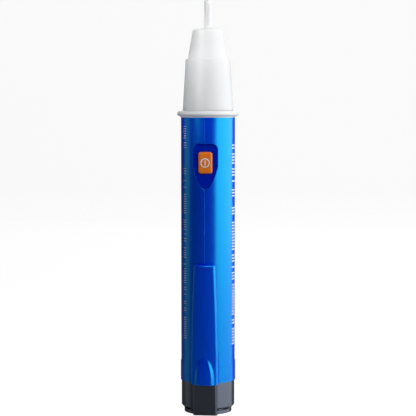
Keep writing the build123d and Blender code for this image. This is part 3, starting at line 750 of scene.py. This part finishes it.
@dataclass
class PowerButton:
    """The button and the power sign printed on its face: a ring with a bar inside."""

    face_y: float = -10.5 * MM
    centre_z: float = 97.45 * MM
    ring_radius: float = 1.58 * MM
    line: float = 0.44 * MM
    bar_height: float = 1.9 * MM
    bar_width: float = 0.5 * MM
    ink: float = 0.02 * MM
    steps: int = 72

    def stroke(self, mesh: bmesh.types.BMesh, outline: Callable[[float, float], Point]) -> None:
        """Add a closed stroke of ink that follows a closed line.

        Args:
            mesh: Mesh to add it to.
            outline: Gives a point from the share round the line and the share of its
                half width, from -1 to 1; its y is the share of the ink's height.
        """
        sections = []
        for i in range(self.steps):
            around = i / self.steps
            corners = ((-1.0, 0.0), (-0.8, 1.0), (0.8, 1.0), (1.0, 0.0))
            section = []
            for side, lift in corners:
                x, _, z = outline(around, side)
                y = self.face_y + self.ink * (0.5 - 1.5 * lift)
                section.append(mesh.verts.new((x, y, self.centre_z + z)))
            sections.append(section)
        for i, section in enumerate(sections):
            after = sections[(i + 1) % self.steps]
            for j in range(4):
                k = (j + 1) % 4
                mesh.faces.new((section[j], section[k], after[k], after[j]))

    def ring_line(self, around: float, side: float) -> Point:
        """Return a point of the ring's stroke."""
        radius = self.ring_radius + side * self.line / 2
        angle = 2 * math.pi * around
        return (radius * math.sin(angle), 0.0, radius * math.cos(angle))

    def bar(self, mesh: bmesh.types.BMesh) -> None:
        """Add the upright bar with round ends."""
        half = self.bar_width / 2
        straight = self.bar_height / 2 - half
        rows = []
        for lift, grow in ((0.0, 1.0), (1.0, 0.85)):
            row = []
            for i in range(self.steps // 2):
                angle = 4 * math.pi * i / self.steps
                x = grow * half * math.sin(angle)
                z = grow * half * math.cos(angle) + math.copysign(straight, math.cos(angle))
                y = self.face_y + self.ink * (0.5 - 1.5 * lift)
                row.append(mesh.verts.new((x, y, self.centre_z + z)))
            rows.append(row)
        for i in range(len(rows[0])):
            j = (i + 1) % len(rows[0])
            mesh.faces.new((rows[0][i], rows[0][j], rows[1][j], rows[1][i]))
        mesh.faces.new(rows[0])
        mesh.faces.new(rows[1])

    def build(self, nodes: dict[str, bpy.types.Object]) -> list[bpy.types.Object]:
        """Dress the button and print its sign.

        Args:
            nodes: Frame nodes by name.

        Returns:
            The button and its print.
        """
        dress(nodes["power_button"], BUTTON_ORANGE)
        mesh = bmesh.new()
        self.stroke(mesh, self.ring_line)
        self.bar(mesh)
        sign = new_piece("power_sign", mesh)
        dress(sign, PRINT_WHITE)
        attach(sign, Body.BUTTON.value)
        return [nodes["power_button"], sign]


@dataclass
class Nose:
    """The white collar and the two-step white nose with its thin probe."""

    def build(self, nodes: dict[str, bpy.types.Object]) -> list[bpy.types.Object]:
        """Dress the nose's pieces.

        Args:
            nodes: Frame nodes by name.

        Returns:
            The dressed pieces.
        """
        dress(nodes["sensor_nose"], NOSE_WHITE)
        dress(nodes["nose_collar"], COLLAR_WHITE)
        return [nodes["sensor_nose"], nodes["nose_collar"]]


@dataclass
class EndCap:
    """The black end cap that pulls off."""

    def build(self, nodes: dict[str, bpy.types.Object]) -> list[bpy.types.Object]:
        """Dress the cap's pieces.

        Args:
            nodes: Frame nodes by name.

        Returns:
            The dressed pieces.
        """
        dress(nodes["end_cap"], CAP_BLACK)
        return [nodes["end_cap"]]


@dataclass
class PrintedMarks:
    """Two upright columns of plain printed bars on the barrel's sides."""

    radius: float = 10.45 * MM
    ink: float = 0.03 * MM
    wrap_steps: int = 9

    def tree(self) -> ShapeTree:
        """Return the tree of one column: a row of bars with gaps, wrapped round the barrel."""
        tree = ShapeTree("printed_column")
        radius, azimuth = tree.size("radius"), tree.size("azimuth")
        bottom, pitch = tree.size("bottom"), tree.size("pitch")
        bar_width, bar_height, ink = tree.size("bar_width"), tree.size("bar_height"), tree.size("ink")
        gaps = tree.size("gaps")
        count, seed = tree.size("count", "NodeSocketInt"), tree.size("seed", "NodeSocketInt")
        material = tree.size("material", "NodeSocketMaterial")
        start = tree.node("ShaderNodeCombineXYZ", Z=bottom)
        step = tree.node("ShaderNodeCombineXYZ", Z=pitch)
        line = tree.node("GeometryNodeMeshLine", Count=count)
        tree.feed(line.inputs["Start Location"], start.outputs[0])
        tree.feed(line.inputs["Offset"], step.outputs[0])
        chance = tree.tree.nodes.new("FunctionNodeRandomValue")
        chance.data_type = "BOOLEAN"
        tree.feed(chance.inputs["Probability"], gaps)
        tree.feed(chance.inputs["Seed"], seed)
        kept = tree.node("GeometryNodeDeleteGeometry", Geometry=line.outputs["Mesh"])
        tree.feed(kept.inputs["Selection"], chance.outputs[3])
        shape = tree.node("ShaderNodeCombineXYZ", X=bar_width, Y=ink, Z=bar_height)
        bar = tree.node("GeometryNodeMeshCube", Size=shape.outputs[0])
        bar.inputs["Vertices X"].default_value = self.wrap_steps
        bars = tree.node("GeometryNodeInstanceOnPoints", Points=kept.outputs[0])
        tree.feed(bars.inputs["Instance"], bar.outputs["Mesh"])
        real = tree.node("GeometryNodeRealizeInstances", Geometry=bars.outputs[0])
        place = tree.node("ShaderNodeSeparateXYZ", Vector=tree.node("GeometryNodeInputPosition").outputs[0])
        angle = tree.math("ADD", azimuth, tree.math("DIVIDE", place.outputs["X"], radius))
        out = tree.math("SUBTRACT", radius, place.outputs["Y"])
        x = tree.math("MULTIPLY", out, tree.math("SINE", angle))
        y = tree.math("MULTIPLY", out, tree.math("MULTIPLY", tree.math("COSINE", angle), -1.0))
        wrapped = tree.node("ShaderNodeCombineXYZ", X=x, Y=y, Z=place.outputs["Z"])
        moved = tree.node("GeometryNodeSetPosition", Geometry=real.outputs[0], Position=wrapped.outputs[0])
        tree.finish(moved.outputs[0], material)
        return tree

    def build(self) -> list[bpy.types.Object]:
        """Print both columns.

        Returns:
            The two columns.
        """
        tree = self.tree()
        white = bpy.data.materials.get(PRINT_WHITE.name) or PRINT_WHITE.make()
        shared = {"radius": self.radius, "ink": self.ink, "material": white}
        columns = [
            tree.grow(
                "print_right",
                azimuth=math.radians(77.0),
                bottom=27.0 * MM,
                pitch=1.15 * MM,
                bar_width=3.0 * MM,
                bar_height=0.5 * MM,
                gaps=0.14,
                count=68,
                seed=4,
                **shared,
            ),
            tree.grow(
                "print_left",
                azimuth=math.radians(-52.0),
                bottom=24.0 * MM,
                pitch=0.9 * MM,
                bar_width=1.7 * MM,
                bar_height=0.24 * MM,
                gaps=0.3,
                count=98,
                seed=11,
                **shared,
            ),
        ]
        for column in columns:
            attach(column, Body.CASE.value)
        return columns


@dataclass
class Insides:
    """The pieces inside the barrel and the cap, which show when the cap is off."""

    finishes: dict[str, Finish]

    @classmethod
    def standard(cls) -> Insides:
        """Return the insides with the finish of each piece."""
        cells = {"lower": 7.0 * MM, "upper": 51.5 * MM}
        ring_offset = 38.0 * MM
        finishes: dict[str, Finish] = {
            "nose_seal": SEAL_RUBBER,
            "cap_seal": SEAL_RUBBER,
            "circuit_board": LAMINATE,
            "tact_switch_base": COMPONENT_BLACK,
            "switch_plunger": COMPONENT_BLACK,
            "sensing_chip": COMPONENT_BLACK,
            "resistors": COMPONENT_BLACK,
            "transistors": COMPONENT_BLACK,
            "buzzer_case": COMPONENT_BLACK,
            "capacitors": CAPACITOR_TAN,
            "indicator_led": LENS_RED,
            "chip_leads": TIN,
            "led_leads": TIN,
            "buzzer_disc": BRASS,
            "antenna": BRASS,
            # The partition reuses the darker blue that carries the recess's painted shade.
            "battery_partition": BEZEL_BLUE_PAINTED_SHADE,
            "battery_plus_contact": NICKEL,
            "return_contact_strip": NICKEL,
            "cap_contact_plate": NICKEL,
            "cap_spring": NICKEL,
        }
        for cell, bottom in cells.items():
            finishes[f"{cell}_cell_can"] = CAN_STEEL
            finishes[f"{cell}_cell_nub"] = CAN_STEEL
            finishes[f"{cell}_cell_seal"] = NYLON
            finishes[f"{cell}_cell_sleeve"] = BandedSleeve(f"{cell}_cell_print", bottom + ring_offset)
        return cls(finishes)

    def build(self, nodes: dict[str, bpy.types.Object]) -> list[bpy.types.Object]:
        """Dress every piece inside.

        Args:
            nodes: Frame nodes by name.

        Returns:
            The dressed pieces.
        """
        for name, finish in self.finishes.items():
            dress(nodes[name], finish)
        return [nodes[name] for name in self.finishes]


# ---------------------------------------------------------------------------
# Studio
# ---------------------------------------------------------------------------


@dataclass
class Camera:
    """A long lens a little above and to the right of the front."""

    lens: float = 122.6
    distance: float = 0.551
    elevation: float = 4.2
    azimuth: float = 6.2
    aim: Point = (0.0, 0.0, 0.0795)
    sensor: float = 36.0
    nearest: float = 0.01
    farthest: float = 20.0

    def build(self) -> bpy.types.Object:
        """Make the scene's camera.

        Returns:
            The camera.
        """
        data = bpy.data.cameras.new("camera")
        data.lens = self.lens
        data.sensor_width = self.sensor
        data.clip_start = self.nearest
        data.clip_end = self.farthest
        camera = bpy.data.objects.new("camera", data)
        bpy.context.scene.collection.objects.link(camera)
        rise, turn = math.radians(self.elevation), math.radians(self.azimuth)
        away = Vector(
            (math.cos(rise) * math.sin(turn), -math.cos(rise) * math.cos(turn), math.sin(rise))
        )
        camera.location = Vector(self.aim) + self.distance * away
        camera.rotation_euler = (-away).to_track_quat("-Z", "Y").to_euler()
        bpy.context.scene.camera = camera
        return camera


@dataclass
class SoftBox:
    """An upright soft light beside the object."""

    name: str
    azimuth: float
    distance: float
    height: float
    width: float
    tall: float
    power: float
    aim_z: float = 0.08

    def build(self) -> bpy.types.Object:
        """Make the light, turned to the object.

        Returns:
            The light.
        """
        data = bpy.data.lights.new(self.name, "AREA")
        data.shape = "RECTANGLE"
        data.size = self.width
        data.size_y = self.tall
        data.energy = self.power
        lamp = bpy.data.objects.new(self.name, data)
        bpy.context.scene.collection.objects.link(lamp)
        turn = math.radians(self.azimuth)
        place = Vector((math.sin(turn) * self.distance, -math.cos(turn) * self.distance, self.height))
        lamp.location = place
        lamp.rotation_euler = (Vector((0, 0, self.aim_z)) - place).to_track_quat("-Z", "Y").to_euler()
        return lamp


@dataclass
class Snoot:
    """A narrow soft-edged light that reaches only the nose."""

    name: str
    place: Point
    power: float
    aim: Point = (0.0, 0.0, 0.143)
    spread: float = 4.7
    soft_edge: float = 0.35
    radius: float = 0.03

    def build(self) -> bpy.types.Object:
        """Make the light, turned to the nose.

        Returns:
            The light.
        """
        data = bpy.data.lights.new(self.name, "SPOT")
        data.energy = self.power
        data.spot_size = math.radians(self.spread)
        data.spot_blend = self.soft_edge
        data.shadow_soft_size = self.radius
        lamp = bpy.data.objects.new(self.name, data)
        bpy.context.scene.collection.objects.link(lamp)
        lamp.location = self.place
        lamp.rotation_euler = (Vector(self.aim) - Vector(self.place)).to_track_quat("-Z", "Y").to_euler()
        return lamp


@dataclass
class Backdrop:
    """A pale sweep: floor, curve and wall in one sheet that glows a little."""

    near: float = -1.2
    far: float = 1.4
    half: float = 2.2
    rise: float = 1.6
    bend: float = 0.5
    bend_steps: int = 12
    glow: float = 0.9

    def build(self) -> bpy.types.Object:
        """Make the sweep behind and under the object.

        Returns:
            The sweep.
        """
        line = [(self.near, 0.0), (0.0, 0.0), (self.far - self.bend, 0.0)]
        for i in range(1, self.bend_steps + 1):
            angle = math.pi / 2 * i / self.bend_steps
            y = self.far - self.bend + self.bend * math.sin(angle)
            line.append((y, self.bend * (1.0 - math.cos(angle))))
        line.append((self.far, self.rise))
        mesh = bmesh.new()
        sides = [[mesh.verts.new((x, y, z)) for y, z in line] for x in (-self.half, self.half)]
        for i in range(len(line) - 1):
            mesh.faces.new((sides[0][i], sides[1][i], sides[1][i + 1], sides[0][i + 1]))
        data = bpy.data.meshes.new("sweep")
        mesh.to_mesh(data)
        mesh.free()
        data.shade_smooth()
        sweep = bpy.data.objects.new("sweep", data)
        bpy.context.scene.collection.objects.link(sweep)
        graph = ShaderGraph("sweep_acrylic")
        grain = graph.noise(3.0 * MM, detail=3.0)
        graph.link(graph.mixed(grain, (0.25, 0.25, 0.25), (0.27, 0.27, 0.27)), "Base Color")
        graph.set(roughness=0.1, ior=2.0, emission_color=(1.0, 1.0, 1.0, 1.0))
        graph.link(graph.ranged(graph.seen_directly(), (0.0, 1.0), (0.0, self.glow)), "Emission Strength")
        data.materials.append(graph.material)
        return sweep


@dataclass
class Studio:
    """Camera, lights, sweep and the faint light of the room."""

    room: float = 0.05

    def build(self) -> None:
        """Make everything round the object."""
        Camera().build()
        Backdrop().build()
        lights = (
            SoftBox("key_right", 86.0, 0.55, 0.1, 1.15, 0.9, 8.8),
            SoftBox("strip_left", -95.0, 0.5, 0.1, 0.3, 0.8, 0.3),
            SoftBox("rear_fill", 180.0, 0.8, 0.5, 0.6, 0.6, 1.6),
            SoftBox("front_fill", 12.0, 0.7, 1.0, 0.5, 0.5, 3.6),
            Snoot("nose_snoot", (-0.35, -0.45, 0.3), 16.0),
        )
        for light in lights:
            light.build()
        world = bpy.data.worlds.new("room")
        world.use_nodes = True
        tree = world.node_tree
        shade = tree.nodes["Background"]
        shade.inputs["Color"].default_value = (1.0, 1.0, 1.0, 1.0)
        seen = tree.nodes.new("ShaderNodeLightPath")
        level = tree.nodes.new("ShaderNodeMapRange")
        level.inputs["To Min"].default_value = self.room
        tree.links.new(seen.outputs["Is Camera Ray"], level.inputs["Value"])
        tree.links.new(level.outputs["Result"], shade.inputs["Strength"])
        scene = bpy.context.scene
        scene.world = world
        scene.view_settings.view_transform = "Standard"
        scene.view_settings.look = "None"


def main() -> None:
    """Build the tester's looks on its frame."""
    logging.basicConfig(level=logging.INFO, format="%(name)s: %(message)s")
    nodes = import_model()["nodes"]
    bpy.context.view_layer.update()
    for part in (Barrel(), PowerButton(), Nose(), EndCap(), Insides.standard()):
        for piece in part.build(nodes):
            LOG.info("%s: %s", type(part).__name__, piece.name)
    for column in PrintedMarks().build():
        LOG.info("PrintedMarks: %s", column.name)
    clip = PocketClip().build()
    LOG.info("PocketClip: %s", clip.name)
    Studio().build()


if __name__ == "__main__":
    main()
